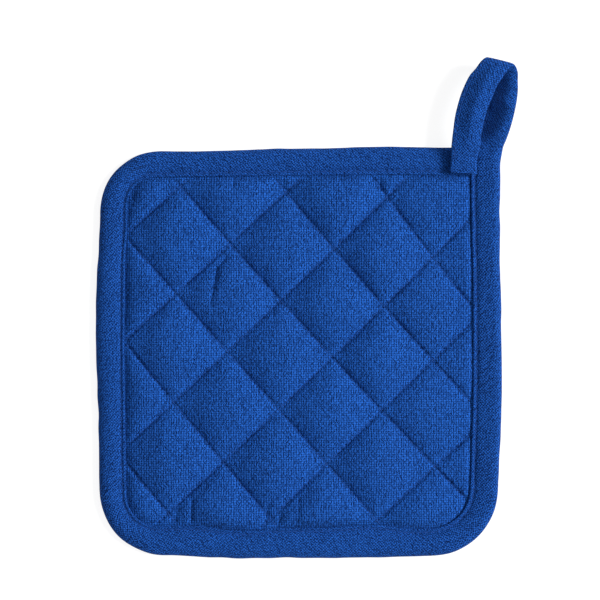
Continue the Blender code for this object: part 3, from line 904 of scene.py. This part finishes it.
def woven(name, colours, pitch, roundness, painted_weave_shade, grain, wander, bias=False):
    """Plain-woven cotton, its threads along X and Y, or on the bias of a tape."""
    s = Shading(name)
    if bias:
        source = s.tree.nodes.new("ShaderNodeUVMap")
        source.uv_map = "weave"
        place = s.turned(source.outputs[0], BIAS)
    else:
        source = s.tree.nodes.new("ShaderNodeTexCoord")
        place = s.vector("SCALE", source.outputs["Object"], 1 / MM)
    _, drift = s.noise(place, DRIFT_SCALE, 1.0)
    drift = s.vector("SCALE", s.vector("SUBTRACT", drift, (0.5, 0.5, 0.5)), wander)
    threads = s.vector("DIVIDE", s.vector("ADD", place, drift), (*pitch, 1.0))
    u, v = s.parted(threads)
    wave_u = s.maths("SINE", s.maths("MULTIPLY", u, math.pi))
    wave_v = s.maths("SINE", s.maths("MULTIPLY", v, math.pi))

    def thread(across, over, power):
        hump = s.maths("POWER", s.maths("ABSOLUTE", across), power)
        turn = s.maths("MULTIPLY", s.maths("SIGN", across), over)
        return hump, turn

    level, swing = THREAD_HIGH
    warp_hump, warp_turn = thread(wave_u, wave_v, roundness[0])
    weft_hump, weft_turn = thread(wave_v, wave_u, roundness[1])
    warp = s.maths("MULTIPLY", warp_hump, s.maths("MULTIPLY_ADD", warp_turn, swing, level))
    weft = s.maths("MULTIPLY", weft_hump, s.maths("MULTIPLY_ADD", weft_turn, -swing, level))
    height = s.maths("MAXIMUM", warp, weft)

    def yarn(index, along):
        apart = s.maths("MULTIPLY", s.maths("FLOOR", index), SLUB_APART)
        spot, _ = s.noise(s.joined(apart, s.maths("MULTIPLY", along, SLUB_SCALE)), 1.0, 2.0)
        return spot

    on_top = s.maths("GREATER_THAN", warp, weft)
    warp_yarn, weft_yarn = yarn(u, v), yarn(v, u)
    slub = s.maths("ADD", weft_yarn, s.maths("MULTIPLY", on_top, s.maths("SUBTRACT", warp_yarn, weft_yarn)))
    crossing_tone = s.tree.nodes.new("ShaderNodeTexWhiteNoise")
    crossing_tone.noise_dimensions = "2D"
    s.put(s.vector("FLOOR", threads), crossing_tone.inputs["Vector"])
    fibres = s.vector("FLOOR", s.vector("SCALE", place, 1 / FIBRE))
    speck = 0.0
    for corner, strength in (((0, 0, 0), 1.0), ((1, 0, 0), -FIBRE_EDGE)):
        node = s.tree.nodes.new("ShaderNodeTexWhiteNoise")
        node.noise_dimensions = "2D"
        s.put(s.vector("ADD", fibres, corner), node.inputs["Vector"])
        speck = s.maths("MULTIPLY_ADD", node.outputs["Value"], strength, speck)
    patch, _ = s.noise(place, PATCH_SCALE, 2.0)
    # Painted shade and painted light of the weave: the colour is darker in the hollows between threads and
    # lighter on their tops, by how high each thread lies.
    depth = s.maths("MULTIPLY_ADD", crossing_tone.outputs["Value"], 2.0, 0.4)
    relief = s.maths("MULTIPLY", s.maths("SUBTRACT", height, THREAD_MIDDLE), depth)
    tone = 0.45
    layers = (
        # value, its middle, how strongly it shows
        (relief, 0.0, painted_weave_shade),
        (crossing_tone.outputs["Value"], 0.5, 0.42 * grain),
        (slub, 0.5, 0.25),
        (speck, 0.5 - 0.5 * FIBRE_EDGE, grain),
        (patch, 0.5, 0.15),
    )
    for value, middle, strength in layers:
        tone = s.maths("ADD", tone, s.maths("MULTIPLY", s.maths("SUBTRACT", value, middle), strength))
    tone = s.maths("MINIMUM", s.maths("MAXIMUM", tone, 0.0), 1.0)
    s.put(s.mix(tone, *colours), s.shader.inputs["Base Color"])
    rough = s.maths("MULTIPLY_ADD", speck, 0.1, 0.85)
    s.put(rough, s.shader.inputs["Roughness"])
    bump = s.tree.nodes.new("ShaderNodeBump")
    bump.inputs["Strength"].default_value = 1.0
    bump.inputs["Distance"].default_value = WEAVE_DEPTH
    relief = s.maths("ADD", height, s.maths("MULTIPLY", slub, 0.8))
    s.put(s.maths("ADD", relief, s.maths("MULTIPLY", speck, 0.3)), bump.inputs["Height"])
    s.put(bump.outputs[0], s.shader.inputs["Normal"])
    s.shader.inputs["Specular IOR Level"].default_value = 0.05
    s.shader.inputs["Sheen Weight"].default_value = 0.04
    s.shader.inputs["Sheen Roughness"].default_value = 0.5
    s.shader.inputs["Sheen Tint"].default_value = (0.25, 0.5, 1.0, 1)
    return s.material


def twisted_thread(name, colours):
    """Sewing thread, its colour and roughness varying in fine patches."""
    s = Shading(name)
    source = s.tree.nodes.new("ShaderNodeTexCoord")
    place = s.vector("SCALE", source.outputs["Object"], 1 / MM)
    band, _ = s.noise(place, 3.5, 1.0)
    s.put(s.mix(band, *colours), s.shader.inputs["Base Color"])
    s.put(s.maths("MULTIPLY_ADD", band, 0.2, 0.55), s.shader.inputs["Roughness"])
    bump = s.tree.nodes.new("ShaderNodeBump")
    bump.inputs["Strength"].default_value = 0.5
    bump.inputs["Distance"].default_value = 0.00005
    s.put(band, bump.inputs["Height"])
    s.put(bump.outputs[0], s.shader.inputs["Normal"])
    s.shader.inputs["Specular IOR Level"].default_value = 0.2
    return s.material


def add_stage():
    """A pale floor, soft daylight from all round and one soft lamp from the right."""
    mesh = bpy.data.meshes.new("floor")
    corners = ((-1, -1), (1, -1), (1, 1), (-1, 1))
    vertices = [(x * FLOOR_REACH, y * FLOOR_REACH, FLOOR_LEVEL) for x, y in corners]
    mesh.from_pydata(vertices, [], [(0, 1, 2, 3)])
    s = Shading("pale floor")
    source = s.tree.nodes.new("ShaderNodeTexCoord")
    patch, _ = s.noise(source.outputs["Object"], 3.0)
    s.put(s.mix(patch, FLOOR, tuple(c * 0.99 for c in FLOOR)), s.shader.inputs["Base Color"])
    s.shader.inputs["Roughness"].default_value = 0.9
    s.shader.inputs["Emission Color"].default_value = (1, 1, 1, 1)
    s.shader.inputs["Emission Strength"].default_value = FLOOR_GLOW
    mesh.materials.append(s.material)
    floor = bpy.data.objects.new("floor", mesh)
    bpy.context.collection.objects.link(floor)

    world = bpy.data.worlds.new("daylight")
    world.use_nodes = True
    nodes, links = world.node_tree.nodes, world.node_tree.links
    facing = nodes.new("ShaderNodeTexCoord")
    parts = nodes.new("ShaderNodeSeparateXYZ")
    rightward = nodes.new("ShaderNodeMath")
    rightward.operation = "MULTIPLY_ADD"
    rightward.inputs[1].default_value = DAYLIGHT_RIGHTWARD * DAYLIGHT
    rightward.inputs[2].default_value = DAYLIGHT
    links.new(facing.outputs["Generated"], parts.inputs[0])
    links.new(parts.outputs[0], rightward.inputs[0])
    links.new(rightward.outputs[0], nodes["Background"].inputs[1])
    nodes["Background"].inputs[0].default_value = (1.0, 1.0, 1.0, 1)
    bpy.context.scene.world = world

    lamp = bpy.data.lights.new("soft lamp", "AREA")
    lamp.shape = "RECTANGLE"
    lamp.size, lamp.size_y = LAMP_SIZE, LAMP_SIZE
    lamp.energy = LAMP_POWER
    holder = bpy.data.objects.new("soft lamp", lamp)
    holder.location = LAMP_PLACE
    holder.rotation_euler = (-Vector(holder.location)).to_track_quat("-Z", "Y").to_euler()
    bpy.context.collection.objects.link(holder)

    spot = bpy.data.lights.new("overhead lamp", "SPOT")
    spot.spot_size, spot.spot_blend = OVERHEAD_SPREAD, 1.0
    spot.shadow_soft_size = OVERHEAD_SOFTNESS
    spot.energy = OVERHEAD_POWER
    above = bpy.data.objects.new("overhead lamp", spot)
    above.location = OVERHEAD_PLACE
    bpy.context.collection.objects.link(above)

    camera = bpy.data.objects.new("camera", bpy.data.cameras.new("camera"))
    camera.location = CAMERA_PLACE
    camera.data.lens = LENS
    camera.data.sensor_width = SENSOR
    bpy.context.collection.objects.link(camera)
    bpy.context.scene.camera = camera
    bpy.context.scene.view_settings.view_transform = "Standard"


def main():
    cotton = woven("quilted cotton", COTTON, COTTON_PITCH, (0.9, 0.3), 0.75, 0.6, 0.7)
    tape = woven("bias tape", TAPE, TAPE_PITCH, (0.85, 0.85), 0.75, 0.7, 0.45, bias=True)
    thread = twisted_thread("sewing thread", SEWING_THREAD)

    pad = metres_mesh("quilted_pad", *make_pad(), cotton)
    binding = make_binding(tape)
    loop = make_loop(tape)

    edge, fold, _ = tape_lines()
    inward = (fold - edge) / np.linalg.norm(fold - edge, axis=1, keepdims=True)
    line = fold - inward * STITCH_INSET
    groove, ones = TAPE_SECTION[TOP_GROOVE][2], np.ones((len(line), 1))
    top_line = np.concatenate([line, ones * groove], 1)
    under_line = np.concatenate([line, ones * TAPE_SECTION[BOTTOM_GROOVE][2]], 1)
    up, down = ones * [[0, 0, 1]], ones * [[0, 0, -1]]
    quilting = joined_stitches("quilting_stitches", [seam_stitches(top_height, 1)], thread)
    quilting_under = joined_stitches("quilting_stitches_under", [seam_stitches(bottom_height, -1)], thread)
    edge_lines = [line_stitches(top_line, up), line_stitches(under_line, down)]
    stitching = joined_stitches("edge_stitches", edge_lines, thread)

    lengthways = np.linspace(*STRAP_STITCHED, STRAP_LINE_POINTS)
    beside = np.full(STRAP_LINE_POINTS, STRAP_STITCH_SIDE)
    sideways = np.linspace(-BAR_REACH, BAR_REACH, BAR_POINTS)
    strap_lines = [strap_points(lengthways, beside, face) for face in (1, -1)]
    strap_lines += [strap_points(np.full(BAR_POINTS, share), sideways, 1) for share in BAR_SHARES]
    loop_stitching = joined_stitches("loop_stitches", [line_stitches(*line) for line in strap_lines], thread)

    for piece, slot_name in ((pad, "quilted_cotton"), (binding, "bias_tape"), (loop, "loop_tape"),
                             (quilting, "quilted_cotton"), (quilting_under, "quilted_cotton"),
                             (stitching, "bias_tape"), (loop_stitching, "loop_tape")):
        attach(piece, BODY)
    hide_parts("pad")
    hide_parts("binding")
    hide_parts("loop")
    add_stage()


main()
